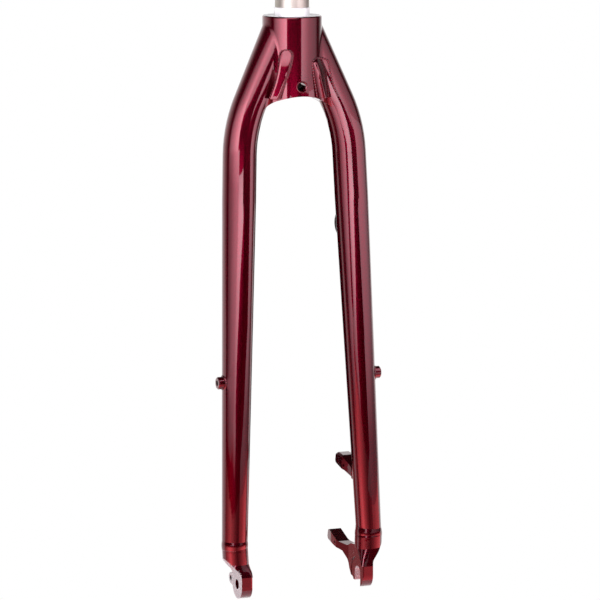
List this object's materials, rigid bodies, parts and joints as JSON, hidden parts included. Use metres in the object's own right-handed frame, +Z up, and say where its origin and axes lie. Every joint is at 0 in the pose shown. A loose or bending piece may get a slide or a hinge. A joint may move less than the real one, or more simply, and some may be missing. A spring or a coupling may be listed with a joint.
{
  "type": "rigid bicycle fork",
  "caption": "Rigid disc-brake bicycle fork with a straight steerer, round crown, bent tapered legs, gussets, brake posts and dropouts.",
  "frame": {"origin": "on the steerer axis at the foot of the crown race seat", "axes": "+X to the bike's left, +Y rearward, +Z up the steerer axis"},
  "size_m": [0.1468, 0.0712, 0.6993],
  "materials": {
    "crown": "gloss candy burgundy under clear coat",
    "left_leg": "gloss candy burgundy under clear coat",
    "right_leg": "gloss candy burgundy under clear coat",
    "front_left_gusset": "gloss candy burgundy under clear coat",
    "front_right_gusset": "gloss candy burgundy under clear coat",
    "rear_left_gusset": "gloss candy burgundy under clear coat",
    "rear_right_gusset": "gloss candy burgundy under clear coat",
    "left_dropout": "gloss candy burgundy under clear coat",
    "right_dropout": "gloss candy burgundy under clear coat",
    "upper_brake_post": "gloss candy burgundy under clear coat",
    "left_rack_boss": "gloss candy burgundy under clear coat",
    "right_rack_boss": "gloss candy burgundy under clear coat",
    "steerer_tube": "bare drawn tube, turned seat",
    "hose_guide": "black"
  },
  "bodies": {
    "root": {"crown": "crown", "left_leg": "left_leg", "right_leg": "right_leg", "front_left_gusset": "front_left_gusset", "front_right_gusset": "front_right_gusset", "rear_left_gusset": "rear_left_gusset", "rear_right_gusset": "rear_right_gusset", "left_dropout": "left_dropout", "right_dropout": "right_dropout", "upper_brake_post": "upper_brake_post", "left_rack_boss": "left_rack_boss", "right_rack_boss": "right_rack_boss", "steerer_tube": "steerer_tube", "hose_guide": "hose_guide"}
  },
  "joints": []
}
